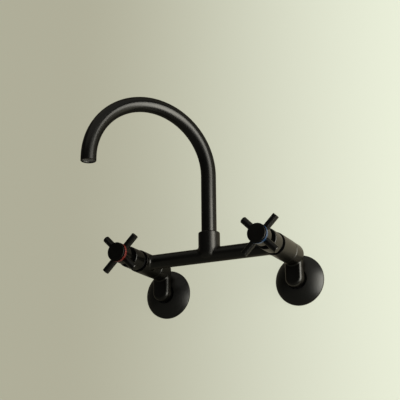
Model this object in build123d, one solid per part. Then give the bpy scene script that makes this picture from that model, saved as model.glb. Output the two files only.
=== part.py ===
from build123d import *
import math
import os

# Wall-mounted bridge faucet: two cross handles, a swivelling gooseneck spout and two swing arms.
# All sizes are in millimetres. Each piece is modelled in the wall frame: x to the right, y up and
# z out of the wall, with the origin on the wall, midway between the two water inlets. On saving,
# the piece is turned into the row frame, where +Z is up and +Y points into the wall.

# ---------------------------------------------------------------- driving sizes
# stations below are distances out from the wall, along a valve's axis
valve_spacing = 203.2  # 8 inch centres, valve to valve and inlet to inlet
valve_height = 31.5  # valve axis above the inlet axis

# wall flange
flange_radius = 34.9
flange_rim = 2.0  # straight edge at the wall
flange_height = 12.4  # top of the dome, at its hole
flange_hole_radius = 14.0
flange_wall = 1.4
flange_edge_round = 1.0
flange_lip_round = 0.5
grommet_length = 5.0
grommet_recess = 2.2  # grommet below the flange's lip

# swing arm
leg_station = 20.2  # middle of the flat leg's thickness
leg_thickness = 13.6
leg_radius = 12.5  # half the leg's width, and the radius of its round ends
leg_edge_round = 5.0
leg_root_fillet = 2.4  # where the leg runs into the head
inlet_radius = 12.2  # round inlet between the wall and the leg
arm_bore_radius = 4.7
bore_elbow_radius = 6.0  # centreline of the bore where it turns up
inlet_bore_radius = 9.2  # minor diameter of a 1/2 inch pipe thread
inlet_thread_length = 10.5
inlet_washer_thickness = 1.5
inlet_relief_step = 0.6  # the washer's recess is this much wider than the thread
inlet_relief_gap = 0.3  # from the end of the thread to the washer
arm_head_radius = 15.2
arm_head_behind = 7.8  # from the leg's middle to the head's rounded rear end
arm_head_ahead = 27.6  # from the leg's middle to the seam with the valve body
arm_head_round = 12.0
arm_head_bevel = 1.2  # at the seam with the valve body
arm_head_wall = 5.0
nipple_radius = 11.4
nipple_length = 14.5
nipple_bore_radius = 6.6
nipple_lip = 1.2  # nipple left behind the snap ring's groove
arm_ring_land = 1.6  # metal left beside an O-ring groove

# valve body and bridge
body_radius = 15.45
body_length = 44.2
body_bevel = 2.0  # at the gasket
bridge_setback = 18.3  # bridge axis behind the valve body's front
bridge_radius = 10.0
bridge_bore_radius = 7.4
bridge_spigot_step = 1.2  # the spigot in the valve body is this much smaller
bridge_spigot_depth = 4.1
edge_break = 0.6

# spout tee
tee_radius = 14.8
tee_height = 31.3  # top of the tee above the bridge axis
tee_taper_top = 8.0  # where the straight side ends, above the bridge axis
tee_taper_bottom = -6.0
tee_foot_radius = 6.0  # radius at the taper's bottom, inside the bridge tube
tee_round = 1.4
tee_root_fillet = 4.2
tee_port_radius = 6.4
tee_socket_floor = 8.0
tee_bushing_floor = 23.0

# gooseneck
spout_radius = 10.45
spout_wall = 1.5
riser_height = 112.3  # start of the bend above the bridge axis
gooseneck_radius = 89.5  # centreline
spout_tip_length = 5.6
spout_swing = 35.5  # turned to the left at rest, degrees
spigot_insert = 12.0
spigot_bore_radius = 6.2
spigot_land = 0.9  # metal left beyond the spigot's O-ring grooves
bushing_wall = 1.7
bushing_recess = 0.6
glide_washer_thickness = 1.0
set_screw_radius = 2.2
set_screw_dog_radius = 1.4
set_screw_recess = 0.5
set_screw_hex = 2.5  # across flats
set_screw_hex_depth = 2.0
set_screw_gap = 0.3  # from the screw's steps to the spigot
retaining_groove_width = 4.0
retaining_groove_depth = 1.9

# aerator
aerator_recess = 0.9
aerator_length = 4.6
aerator_wall = 1.5
aerator_ledge = 1.0
aerator_washer_thickness = 1.4
aerator_washer_slack = 0.3  # the washer lies where the tube starts to bend
screen_thickness = 1.6
screen_recess = 0.6  # screen behind the aerator's rim
screen_hole_radius = 0.75
screen_pitch = 2.1
screen_rings = 3

# bonnet, cartridge and its ceramic discs
bonnet_radius = 14.35
bonnet_length = 23.2
bonnet_round = 1.4
bonnet_bevel = 0.9  # at the gasket
bonnet_wall = 1.6
gasket_radius = 12.9
gasket_thickness = 3.6
neck_radius = 8.0
neck_reveal = 11.2  # from the bonnet to the hub
chamber_radius = 11.0
cartridge_radius = 9.6
collar_length = 16.0  # collar above the valve body's front
thread_engagement = 7.0
chamber_depth = 30.5  # from the valve body's front to the seat
barrel_clearance = 0.4
seat_seal_thickness = 2.0
disc_radius = 7.6
disc_thickness = 3.0
disc_port_inner = 2.0
disc_port_outer = 6.2
disc_port_angle = 76.0
window_width = 8.0
window_length = 8.0
window_setback = 1.0  # window starts this far behind the spindle's foot
spindle_radius = 4.95
spindle_foot_thickness = 3.0
spindle_slot_floor = 1.0  # foot left in front of its water slots
spindle_ring_inset = 3.0  # first O-ring ahead of the bonnet's rear end
spindle_ring_pitch = 6.0
spindle_square = 6.0
spindle_clip_thickness = 1.0
spindle_clip_radius = 6.6
clip_gap = 0.2  # from the clip to the hub
spindle_tap_depth = 9.0

# cross handle
hub_radius = 12.6
hub_length = 13.3
hub_round = 0.4
hub_socket_depth = 7.2
hub_web = 1.9
hub_recess_radius = 7.5
hub_recess_depth = 2.4
spoke_radius = 4.6
spoke_setback = 4.8  # spoke axis behind the hub's front
spoke_reach = 32.2  # spoke tip from the valve axis
spoke_stud_radius = 3.0
spoke_stud_depth = 5.0
spoke_bevel = 0.5
spoke_angle = 45.0
spoke_count = 4
index_radius = 13.0
index_bore_radius = 9.0
index_thickness = 4.3
cap_radius = 12.9
cap_thickness = 3.4
cap_bevel = 1.0
cap_plug_gap = 0.4  # from the cap's plug to the hub's web
screw_head_radius = 3.8
screw_head_length = 2.0
screw_radius = 1.9
screw_length = 8.0
screw_hex = 3.0
screw_hex_depth = 1.2

# seals, rings and fits
ring_section = 0.92  # radius of an O-ring's section on the large fits
small_ring_section = 0.7
groove_slack = 0.35  # extra groove width for an O-ring
turn_fit = 0.05  # radial clearance of a turning fit
end_gap = 0.15  # end clearance between turning faces
seam_gap = 0.5
plug_fit = 0.05
snap_thickness = 1.0
snap_depth = 0.9  # how far the snap ring stands in each groove
snap_opening = 5.0
hole_clearance = 0.2
ring_gap = 0.02  # from an O-ring to the bore it seals
overcut = 1.0  # cutters run this far past what they cut
overlap = 1.0  # joined shapes reach this far into each other
near_zero = 0.01  # for finding edges by their place and size

# ---------------------------------------------------------------- derived stations
half_spacing = valve_spacing / 2
bridge_height = valve_height
inlet_relief_radius = inlet_bore_radius + inlet_relief_step
washer_start = inlet_thread_length + inlet_relief_gap
washer_end = washer_start + inlet_washer_thickness
arm_head_back = leg_station - arm_head_behind
arm_head_front = leg_station + arm_head_ahead
body_back = arm_head_front + seam_gap
body_front = body_back + body_length
bridge_station = body_front - bridge_setback
bridge_spigot_radius = bridge_radius - bridge_spigot_step
seat_station = body_front - chamber_depth
bonnet_back = body_front + gasket_thickness
bonnet_front = bonnet_back + bonnet_length
hub_back = bonnet_front + neck_reveal
hub_front = hub_back + hub_length
spoke_station = hub_front - spoke_setback
screw_seat = hub_back + hub_socket_depth + hub_web
index_front = hub_front + index_thickness
cap_front = index_front + cap_thickness
neck_front = hub_back - spindle_clip_thickness - 2 * end_gap - clip_gap
collar_radius = bonnet_radius - bonnet_wall
spout_bore_radius = spout_radius - spout_wall
spigot_bottom = tee_socket_floor + glide_washer_thickness + end_gap
disc_back = seat_station + seat_seal_thickness
moving_disc_back = disc_back + disc_thickness
foot_back = moving_disc_back + disc_thickness
foot_front = foot_back + spindle_foot_thickness
ring_groove_width = 2 * ring_section + groove_slack
small_ring_groove_width = 2 * small_ring_section + groove_slack
socket_radius = spout_radius + turn_fit
bushing_radius = socket_radius + bushing_wall
spout_mouth_height = riser_height - spout_tip_length
spout_reach = 2 * gooseneck_radius
mouth_top = -aerator_recess - aerator_length


# ---------------------------------------------------------------- shared shapes
def bar(radius, start, end, x=0.0, y=0.0):
    """Round bar along z, out of the wall, from one station to another."""
    length = end - start
    return Pos(x, y, start) * Cylinder(radius, length, align=(Align.CENTER, Align.CENTER, Align.MIN))


def collar(outer, inner, start, end, x=0.0, y=0.0):
    """Bar with a bore right through it."""
    return bar(outer, start, end, x, y) - bar(inner, start - overcut, end + overcut, x, y)


def upright(radius, low, high, x=0.0, z=0.0):
    """Round bar along y, standing up."""
    return Pos(x, low, z) * Rot(-90, 0, 0) * bar(radius, 0, high - low)


def crosswise(radius, left, right, y=0.0, z=0.0):
    """Round bar along x."""
    return Pos(left, y, z) * Rot(0, 90, 0) * bar(radius, 0, right - left)


def edges_at(solid, station, radius):
    """Full circular edges of one radius whose centre is at one station."""
    def fits(edge):
        round_edge = edge.geom_type == GeomType.CIRCLE and abs(edge.radius - radius) < near_zero
        return round_edge and abs(edge.arc_center.Z - station) < near_zero
    return [edge for edge in solid.edges() if fits(edge)]


def ring_groove(outer, floor, middle, width):
    """Cutter for a groove round a bar."""
    return collar(outer + overcut, floor, middle - width / 2, middle + width / 2)


def o_ring(floor, section, station):
    """O-ring seated on a groove's floor."""
    return Pos(0, 0, station) * Torus(floor + section, section)


def sector(inner, outer, angle, start, end):
    """Wedge of a ring, opening about the x direction."""
    half = math.radians(angle / 2)
    far = 2 * outer / math.cos(half)
    wedge = make_face(Polyline((0, 0), (far * math.cos(half), -far * math.sin(half)),
                               (far * math.cos(half), far * math.sin(half)), close=True))
    return collar(outer, inner, start, end) & Pos(0, 0, start) * extrude(wedge, end - start)


def hexagon(across_flats, start, end):
    """Hexagonal bar along z."""
    shape = RegularPolygon(across_flats / 2, 6, major_radius=False)
    return Pos(0, 0, start) * extrude(shape, end - start)


def on_valve(side, shape):
    """Move a piece from the z axis to the valve axis of one side."""
    return Pos(side * half_spacing, valve_height, 0) * shape


def save(name, shape):
    """Turn a piece from the wall frame into the row frame and write it."""
    export_step(Rot(90, 0, 0) * shape, f"parts/{name}.step")


# ---------------------------------------------------------------- wall flange
def wall_flange():
    """Domed cover plate: a shallow spherical shell with a short sleeve at its hole."""
    rise = flange_height - flange_rim
    run_squared = flange_radius**2 - flange_hole_radius**2
    depth = (run_squared - rise**2) / (2 * rise) - flange_rim
    ball = math.hypot(flange_radius, flange_rim + depth)

    def height(radius, out):
        return math.sqrt(radius**2 - out**2) - depth

    def arc(radius, start, end):
        middle = (start + end) / 2
        return ThreePointArc((start, height(radius, start)), (middle, height(radius, middle)),
                             (end, height(radius, end)))

    inner = ball - flange_wall
    inner_edge = flange_radius - flange_wall
    sleeve_outer = flange_hole_radius + flange_wall
    sleeve_end = flange_height - grommet_recess - grommet_length
    outline = [
        Line((flange_radius, 0), (flange_radius, flange_rim)),
        arc(ball, flange_radius, flange_hole_radius),
        Line((flange_hole_radius, flange_height), (flange_hole_radius, sleeve_end)),
        Line((flange_hole_radius, sleeve_end), (sleeve_outer, sleeve_end)),
        Line((sleeve_outer, sleeve_end), (sleeve_outer, height(inner, sleeve_outer))),
        arc(inner, sleeve_outer, inner_edge),
        Line((inner_edge, height(inner, inner_edge)), (inner_edge, 0)),
        Line((inner_edge, 0), (flange_radius, 0)),
    ]
    shell = revolve(Plane.XZ * make_face(outline), Axis.Z)
    shell = fillet(edges_at(shell, flange_rim, flange_radius), flange_edge_round)
    return fillet(edges_at(shell, flange_height, flange_hole_radius), flange_lip_round)


def flange_grommet():
    """Rubber ring that grips the arm and carries the flange."""
    top = flange_height - grommet_recess
    return collar(flange_hole_radius, inlet_radius, top - grommet_length, top)


# ---------------------------------------------------------------- swing arm
def arm_bore_path():
    """Centreline of the arm's bore: out of the wall, round a tight elbow and up to the head."""
    turn = leg_station - bore_elbow_radius
    out = Line((0, 0, 0), (0, 0, turn))
    sag = bore_elbow_radius * (1 - math.cos(math.radians(45)))
    run = bore_elbow_radius * math.sin(math.radians(45))
    bend = ThreePointArc((0, 0, turn), (0, sag, turn + run), (0, bore_elbow_radius, leg_station))
    rise = Line((0, bore_elbow_radius, leg_station), (0, valve_height, leg_station))
    return Wire([out.edge(), bend.edge(), rise.edge()])


def arm_leg():
    """Flat leg with round ends about the inlet and valve axes, and well rounded edges."""
    outline = make_face([
        Line((leg_radius, 0), (leg_radius, valve_height)),
        ThreePointArc((leg_radius, valve_height), (0, valve_height + leg_radius),
                      (-leg_radius, valve_height)),
        Line((-leg_radius, valve_height), (-leg_radius, 0)),
        ThreePointArc((-leg_radius, 0), (0, -leg_radius), (leg_radius, 0)),
    ])
    leg = Pos(0, 0, leg_station - leg_thickness / 2) * extrude(outline, leg_thickness)
    ends = leg.faces().filter_by(Axis.Z)
    return fillet(ends.edges(), leg_edge_round)


def swing_arm():
    """Hollow casting: round pipe inlet, flat upright leg, and a head that turns on the valve."""
    head = Pos(0, valve_height, 0) * bar(arm_head_radius, arm_head_back, arm_head_front)
    head = fillet(edges_at(head, arm_head_back, arm_head_radius), arm_head_round)
    head = chamfer(edges_at(head, arm_head_front, arm_head_radius), arm_head_bevel)
    leg = arm_leg()
    solid = head + leg
    solid = fillet(new_edges(head, leg, combined=solid), leg_root_fillet)
    inlet = bar(inlet_radius, 0, leg_station)
    bore = sweep(Circle(arm_bore_radius), path=arm_bore_path())
    nipple_socket = nipple_radius + turn_fit
    socket = bar(nipple_socket, arm_head_back + arm_head_wall, arm_head_front + overcut, 0, valve_height)
    half_groove = snap_thickness / 2 + end_gap
    snap_groove = bar(nipple_radius + snap_depth + hole_clearance, snap_station() - half_groove,
                      snap_station() + half_groove, 0, valve_height)
    thread = bar(inlet_bore_radius, -overcut, inlet_thread_length)
    thread += bar(inlet_relief_radius, inlet_thread_length, washer_end)
    return solid + inlet - bore - socket - snap_groove - thread


def inlet_washer():
    """Flat rubber washer in its recess at the bottom of the pipe inlet."""
    return collar(inlet_relief_radius, arm_bore_radius, washer_start, washer_end)


# ---------------------------------------------------------------- valve body
def nipple_end():
    """Rear end of the nipple, inside the arm's head."""
    return arm_head_front - nipple_length


def snap_station():
    """Middle of the snap ring that holds the arm on the nipple."""
    return nipple_end() + nipple_lip + snap_thickness / 2


def arm_ring_stations():
    """Middles of the two O-ring grooves, spread over what is left of the nipple."""
    margin = arm_ring_land + ring_groove_width / 2
    return snap_station() + snap_thickness / 2 + margin, arm_head_front - margin


def arm_ring_floor():
    """Floor of those grooves: the rings just clear the arm's socket."""
    return nipple_radius + turn_fit - ring_gap - 2 * ring_section


def side_port(direction):
    """Cutter for the bridge's hole in the side of a valve body."""
    near = direction * (chamber_radius - overcut)
    far = direction * (body_radius + overcut)
    return crosswise(bridge_spigot_radius, min(near, far), max(near, far), 0, bridge_station)


def valve_body(inward):
    """Valve body: nipple for the arm, water seat, cartridge chamber and side port."""
    solid = bar(body_radius, body_back, body_front)
    solid = chamfer(edges_at(solid, body_back, body_radius), edge_break)
    solid = chamfer(edges_at(solid, body_front, body_radius), body_bevel)
    solid += bar(nipple_radius, nipple_end(), body_back + overlap)
    solid -= bar(nipple_bore_radius, nipple_end() - overcut, seat_station + overcut)
    solid -= bar(chamber_radius, seat_station, body_front + overcut)
    for station in arm_ring_stations():
        solid -= ring_groove(nipple_radius, arm_ring_floor(), station, ring_groove_width)
    solid -= ring_groove(nipple_radius, nipple_radius - snap_depth, snap_station(), snap_thickness)
    return solid - side_port(inward)


def arm_rings():
    """The two O-rings of one arm joint."""
    return Compound([o_ring(arm_ring_floor(), ring_section, station) for station in arm_ring_stations()])


def snap_ring():
    """Open spring ring that keeps the arm on the nipple."""
    start = snap_station() - snap_thickness / 2
    end = snap_station() + snap_thickness / 2
    ring = collar(nipple_radius + snap_depth, nipple_radius - snap_depth, start, end)
    gap = Box(snap_opening, nipple_radius, 2 * snap_thickness)
    gap = Pos(0, -nipple_radius, snap_station()) * gap
    return ring - gap


# ---------------------------------------------------------------- cartridge
def cartridge_bore():
    """Bore of the cartridge housing round the spindle."""
    return spindle_radius + turn_fit


def spindle_ring_floor():
    """Floor of the spindle's O-ring grooves."""
    return cartridge_bore() - ring_gap - 2 * small_ring_section


def spindle_ring_stations():
    """Middles of the spindle's two O-ring grooves."""
    first = bonnet_back + spindle_ring_inset
    return first, first + spindle_ring_pitch


def cartridge_housing():
    """Brass housing: disc barrel with side windows, threaded collar and the long neck."""
    barrel_back = seat_station + barrel_clearance
    collar_front = bonnet_back + collar_length
    solid = bar(cartridge_radius, barrel_back, body_front - thread_engagement + overlap)
    solid += bar(chamber_radius, body_front - thread_engagement, bonnet_back)
    solid += bar(collar_radius, bonnet_back, collar_front)
    solid += bar(neck_radius, collar_front - overlap, neck_front)
    solid -= bar(disc_radius, barrel_back - overcut, foot_front + end_gap)
    solid -= bar(cartridge_bore(), foot_front, neck_front + overcut)
    middle = foot_back - window_setback + window_length / 2
    solid -= Pos(0, 0, middle) * Box(4 * cartridge_radius, window_width, window_length)
    return solid


def ceramic_disc(start, turned):
    """Ceramic disc with two opposite ports; a quarter turn covers or opens them."""
    end = start + disc_thickness
    disc = bar(disc_radius - turn_fit, start, end)
    port = sector(disc_port_inner, disc_port_outer, disc_port_angle, start - overcut, end + overcut)
    for half_turn in (0, 180):
        disc -= Rot(0, 0, turned + half_turn) * port
    return disc


def cartridge_spindle():
    """Spindle: slotted foot that drives the moving disc, round stem and square end for the hub."""
    solid = bar(disc_radius - turn_fit, foot_back, foot_front)
    slot = sector(disc_port_inner, disc_radius + overcut, disc_port_angle, foot_back - overcut,
                  foot_front - spindle_slot_floor)
    for half_turn in (90, 270):
        solid -= Rot(0, 0, half_turn) * slot
    solid += bar(spindle_radius, foot_front - overlap, hub_back - end_gap)
    for station in spindle_ring_stations():
        solid -= ring_groove(spindle_radius, spindle_ring_floor(), station, small_ring_groove_width)
    clip_middle = neck_front + end_gap + spindle_clip_thickness / 2
    solid -= ring_groove(spindle_radius, spindle_radius - snap_depth, clip_middle, spindle_clip_thickness)
    square_end = hub_back + hub_socket_depth - hole_clearance
    square_start = hub_back - 2 * end_gap
    square_middle = (square_start + square_end) / 2
    solid += Pos(0, 0, square_middle) * Box(spindle_square, spindle_square, square_end - square_start)
    return solid - bar(screw_radius, square_end - spindle_tap_depth, square_end + overcut)


def spindle_rings():
    """The spindle's two O-rings."""
    return Compound([o_ring(spindle_ring_floor(), small_ring_section, station)
                     for station in spindle_ring_stations()])


def spindle_clip():
    """Open clip that stops the spindle from sliding into the neck."""
    start = neck_front + end_gap
    ring = collar(spindle_clip_radius, spindle_radius - snap_depth, start, start + spindle_clip_thickness)
    gap = Box(snap_opening, spindle_clip_radius, 4 * spindle_clip_thickness)
    gap = Pos(0, -spindle_clip_radius, start) * gap
    return ring - gap


def seat_seal():
    """Rubber seal between the valve body's seat and the fixed disc."""
    return collar(disc_radius, nipple_bore_radius, seat_station, disc_back)


def bonnet():
    """Smooth sleeve screwed over the cartridge's collar."""
    solid = bar(bonnet_radius, bonnet_back, bonnet_front)
    solid = fillet(edges_at(solid, bonnet_front, bonnet_radius), bonnet_round)
    solid = chamfer(edges_at(solid, bonnet_back, bonnet_radius), bonnet_bevel)
    solid -= bar(collar_radius, bonnet_back - overcut, bonnet_front - bonnet_wall)
    return solid - bar(neck_radius + plug_fit, bonnet_back, bonnet_front + overcut)


def bonnet_gasket():
    """Dark rubber ring that shows as the line between valve body and bonnet."""
    return collar(gasket_radius, chamber_radius, body_front, bonnet_back)


# ---------------------------------------------------------------- cross handle
def handle_hub():
    """Hub with a square socket, a web for the screw, spoke holes and a recess for the cap."""
    solid = bar(hub_radius, hub_back, hub_front)
    for end in (hub_back, hub_front):
        solid = fillet(edges_at(solid, end, hub_radius), hub_round)
    socket = spindle_square + 2 * plug_fit
    socket_start = hub_back - overcut
    socket_end = hub_back + hub_socket_depth
    middle = (socket_start + socket_end) / 2
    solid -= Pos(0, 0, middle) * Box(socket, socket, socket_end - socket_start)
    solid -= bar(screw_radius + hole_clearance, hub_back, hub_front)
    solid -= bar(screw_head_radius + hole_clearance, screw_seat, hub_front + overcut)
    solid -= bar(hub_recess_radius, hub_front - hub_recess_depth, hub_front + overcut)
    for stud in spoke_bars(spoke_stud_radius, hub_radius - spoke_stud_depth, hub_radius + overcut):
        solid -= stud
    return solid


def spoke_bars(radius, near, far):
    """One bar for each spoke, radial to the valve axis."""
    bars = []
    for number in range(spoke_count):
        turned = spoke_angle + number * 360 / spoke_count
        bars.append(Pos(0, 0, spoke_station) * Rot(0, 0, turned) * crosswise(radius, near, far))
    return bars


def handle_spokes():
    """Four round spokes, each saddled on the hub and held by its own stud."""
    studs = spoke_bars(spoke_stud_radius, hub_radius - spoke_stud_depth, hub_radius + overlap)
    hub = bar(hub_radius, hub_back - overcut, hub_front + overcut)
    spokes = []
    for arm, stud in zip(spoke_bars(spoke_radius, hub_radius / 2, spoke_reach), studs):
        tip = arm.faces().filter_by(GeomType.PLANE).sort_by(lambda face: face.center().length)[-1]
        arm = chamfer(tip.edges(), spoke_bevel)
        spokes.append((arm - hub) + stud)
    return Compound(spokes)


def index_ring():
    """Coloured ring between hub and cap: hot or cold."""
    return collar(index_radius, index_bore_radius, hub_front, index_front)


def handle_cap():
    """Plain cap that plugs into the hub through the index ring."""
    solid = bar(cap_radius, index_front, cap_front)
    solid = chamfer(edges_at(solid, cap_front, cap_radius), cap_bevel)
    solid += bar(index_bore_radius - plug_fit, hub_front, index_front + overlap)
    plug_end = hub_front - hub_recess_depth + cap_plug_gap
    return solid + bar(hub_recess_radius - plug_fit, plug_end, hub_front + overlap)


def handle_screw():
    """Socket screw that holds the hub on the spindle."""
    head_front = screw_seat + screw_head_length
    solid = bar(screw_head_radius, screw_seat, head_front)
    solid += bar(screw_radius, screw_seat - screw_length, head_front - screw_hex_depth)
    return solid - hexagon(screw_hex, head_front - screw_hex_depth, head_front + overcut)


# ---------------------------------------------------------------- bridge and spout tee
def on_bridge(shape):
    """Move a piece from the origin to the bridge's middle, the tee's centre."""
    return Pos(0, bridge_height, bridge_station) * shape


def spigot_groove_heights():
    """Middles of the spigot's lower O-ring, retaining groove and upper O-ring."""
    margin = spigot_land + ring_groove_width / 2
    low = spigot_bottom + margin
    high = tee_bushing_floor - margin
    return low, (low + high) / 2, high


def bridge():
    """Casting that joins the valves and carries the spout: crosswise tube and upright tee."""
    reach = half_spacing
    tube = crosswise(bridge_radius, -reach, reach)
    taper_face = make_face([
        Line((0, tee_taper_bottom), (0, tee_height)),
        Line((0, tee_height), (tee_radius, tee_height)),
        Line((tee_radius, tee_height), (tee_radius, tee_taper_top)),
        Spline((tee_radius, tee_taper_top), (tee_foot_radius, tee_taper_bottom),
               tangents=((0, -1), (-1, 0))),
        Line((tee_foot_radius, tee_taper_bottom), (0, tee_taper_bottom)),
    ])
    tee = revolve(taper_face, Axis.Y)
    rim = tee.edges().filter_by(GeomType.CIRCLE).sort_by(Axis.Y)[-1]
    tee = fillet(rim, tee_round)
    solid = tube + tee
    solid = fillet(new_edges(tube, tee, combined=solid), tee_root_fillet)
    for side in (-1, 1):
        solid -= Pos(side * half_spacing, 0, 0) * bar(body_radius, -bridge_radius, bridge_radius)
        tip = side * (half_spacing - body_radius + bridge_spigot_depth)
        root = side * (half_spacing - body_radius - overlap)
        solid += crosswise(bridge_spigot_radius, min(tip, root), max(tip, root))
    solid -= crosswise(bridge_bore_radius, -reach, reach)
    solid -= upright(tee_port_radius, 0, tee_height)
    solid -= upright(socket_radius, tee_socket_floor, tee_height + overcut)
    solid -= upright(bushing_radius, tee_bushing_floor, tee_height + overcut)
    screw_height = spigot_groove_heights()[1]
    return solid - Pos(0, screw_height, 0) * bar(set_screw_radius, -tee_radius - overcut, 0)


def spout_bushing():
    """Slippery plastic guide ring at the tee's mouth."""
    top = tee_height - bushing_recess
    bore = upright(socket_radius, tee_bushing_floor - overcut, top + overcut)
    return upright(bushing_radius, tee_bushing_floor, top) - bore


def glide_washer():
    """Thin plastic washer that the spout's spigot turns on."""
    top = tee_socket_floor + glide_washer_thickness
    bore = upright(tee_port_radius, tee_socket_floor - overcut, top + overcut)
    return upright(spout_radius, tee_socket_floor, top) - bore


def spout_screw():
    """Grub screw at the back of the tee; its dog point rides in the spigot's groove."""
    tip = spout_radius - retaining_groove_depth + set_screw_gap
    shoulder = socket_radius + set_screw_gap
    head = tee_radius - set_screw_recess
    solid = bar(set_screw_radius, -head, -shoulder) + bar(set_screw_dog_radius, -shoulder - overlap, -tip)
    solid -= hexagon(set_screw_hex, -head - overcut, -head + set_screw_hex_depth)
    return Pos(0, spigot_groove_heights()[1], 0) * solid


# ---------------------------------------------------------------- spout
def swing_spout(shape):
    """Place a spout piece on the tee, turned to the left as the faucet stands."""
    return on_bridge(Rot(0, -spout_swing, 0) * shape)


def gooseneck_path():
    """Centreline of the spout tube, straight out of the wall before it is swung."""
    riser = Line((0, tee_bushing_floor, 0), (0, riser_height, 0))
    bend = ThreePointArc((0, riser_height, 0), (0, riser_height + gooseneck_radius, gooseneck_radius),
                         (0, riser_height, spout_reach))
    tip = Line((0, riser_height, spout_reach), (0, spout_mouth_height, spout_reach))
    return Wire([riser.edge(), bend.edge(), tip.edge()])


def spout_tube():
    """Bent tube, open at both ends."""
    start = Plane(origin=(0, tee_bushing_floor, 0), x_dir=(1, 0, 0), z_dir=(0, 1, 0))
    outer = sweep(start * Circle(spout_radius), path=gooseneck_path())
    inner = sweep(start * Circle(spout_bore_radius), path=gooseneck_path())
    tube = outer - inner
    ends = tube.edges().filter_by(GeomType.CIRCLE)
    tip = [edge for edge in ends if abs(edge.center().Y - spout_mouth_height) < near_zero
           and abs(edge.radius - spout_radius) < near_zero]
    return chamfer(tip, edge_break)


def spout_spigot():
    """Turned end fixed in the tube: it carries the O-rings and the retaining groove."""
    solid = upright(spout_radius, spigot_bottom, tee_bushing_floor)
    solid += upright(spout_bore_radius, tee_bushing_floor - overlap, tee_bushing_floor + spigot_insert)
    low, middle, high = spigot_groove_heights()
    grooves = [(low, spout_ring_floor(), ring_groove_width), (high, spout_ring_floor(), ring_groove_width),
               (middle, spout_radius - retaining_groove_depth, retaining_groove_width)]
    for height, floor, breadth in grooves:
        cutter = ring_groove(spout_radius, floor, 0, breadth)
        solid -= Pos(0, height, 0) * Rot(-90, 0, 0) * cutter
    return solid - upright(spigot_bore_radius, 0, riser_height)


def spout_ring_floor():
    """Floor of the spigot's O-ring grooves."""
    return socket_radius - ring_gap - 2 * ring_section


def spout_rings():
    """The spigot's two O-rings."""
    low, _, high = spigot_groove_heights()
    return Compound([Pos(0, height, 0) * Rot(-90, 0, 0) * o_ring(spout_ring_floor(), ring_section, 0)
                     for height in (low, high)])


def at_outlet(shape):
    """Move a piece from the origin to the spout's mouth, with z pointing down out of it."""
    mouth = Pos(0, spout_mouth_height, spout_reach)
    return swing_spout(mouth * Rot(90, 0, 0) * shape)


def aerator_housing():
    """Threaded ring inside the spout's mouth, with a ledge for the screen."""
    outer = spout_bore_radius
    inner = outer - aerator_wall
    ring = collar(outer, inner - aerator_ledge, mouth_top, -aerator_recess)
    return ring - bar(inner, -aerator_recess - screen_recess - screen_thickness, 0)


def aerator_screen():
    """Perforated disc over the outlet."""
    radius = spout_bore_radius - aerator_wall
    front = -aerator_recess - screen_recess
    disc = bar(radius, front - screen_thickness, front)
    holes = [bar(screen_hole_radius, front - screen_thickness - overcut, front + overcut, x, y)
             for x, y in screen_points()]
    return disc - Compound(holes)


def screen_points():
    """Centres of the screen's holes, on a triangular grid cut to a hexagon."""
    points = []
    for row in range(-screen_rings, screen_rings + 1):
        count = 2 * screen_rings + 1 - abs(row)
        for column in range(count):
            x = (column - (count - 1) / 2) * screen_pitch
            points.append((x, row * screen_pitch * math.sqrt(3) / 2))
    return points


def aerator_washer():
    """Rubber washer above the aerator housing."""
    inner = spout_bore_radius - aerator_wall - aerator_ledge
    outer = spout_bore_radius - aerator_washer_slack
    return collar(outer, inner, mouth_top - aerator_washer_thickness, mouth_top)


# ---------------------------------------------------------------- write the pieces
def main():
    """Build every piece and write one file for each named node."""
    os.makedirs("parts", exist_ok=True)
    save("bridge", on_bridge(bridge()))
    save("spout_bushing", on_bridge(spout_bushing()))
    save("glide_washer", on_bridge(glide_washer()))
    save("spout_screw", on_bridge(spout_screw()))
    save("spout_tube", swing_spout(spout_tube()))
    save("spout_spigot", swing_spout(spout_spigot()))
    save("spout_rings", swing_spout(spout_rings()))
    save("aerator_housing", at_outlet(aerator_housing()))
    save("aerator_screen", at_outlet(aerator_screen()))
    save("aerator_washer", at_outlet(aerator_washer()))

    for side, word in ((-1, "left"), (1, "right")):
        wall = Pos(side * half_spacing, 0, 0)
        save(f"wall_flange_{word}", wall * wall_flange())
        save(f"flange_grommet_{word}", wall * flange_grommet())
        save(f"swing_arm_{word}", wall * swing_arm())
        save(f"inlet_washer_{word}", wall * inlet_washer())

        save(f"valve_body_{word}", on_valve(side, valve_body(-side)))
        save(f"arm_rings_{word}", on_valve(side, arm_rings()))
        save(f"snap_ring_{word}", on_valve(side, snap_ring()))
        save(f"seat_seal_{word}", on_valve(side, seat_seal()))
        save(f"ceramic_disc_fixed_{word}", on_valve(side, ceramic_disc(disc_back, 0)))
        save(f"ceramic_disc_moving_{word}", on_valve(side, ceramic_disc(moving_disc_back, 90)))
        save(f"cartridge_housing_{word}", on_valve(side, cartridge_housing()))
        save(f"cartridge_spindle_{word}", on_valve(side, cartridge_spindle()))
        save(f"spindle_rings_{word}", on_valve(side, spindle_rings()))
        save(f"spindle_clip_{word}", on_valve(side, spindle_clip()))
        save(f"bonnet_gasket_{word}", on_valve(side, bonnet_gasket()))
        save(f"bonnet_{word}", on_valve(side, bonnet()))
        save(f"handle_hub_{word}", on_valve(side, handle_hub()))
        save(f"handle_spokes_{word}", on_valve(side, handle_spokes()))
        save(f"index_ring_{word}", on_valve(side, index_ring()))
        save(f"handle_cap_{word}", on_valve(side, handle_cap()))
        save(f"handle_screw_{word}", on_valve(side, handle_screw()))


main()
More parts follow.
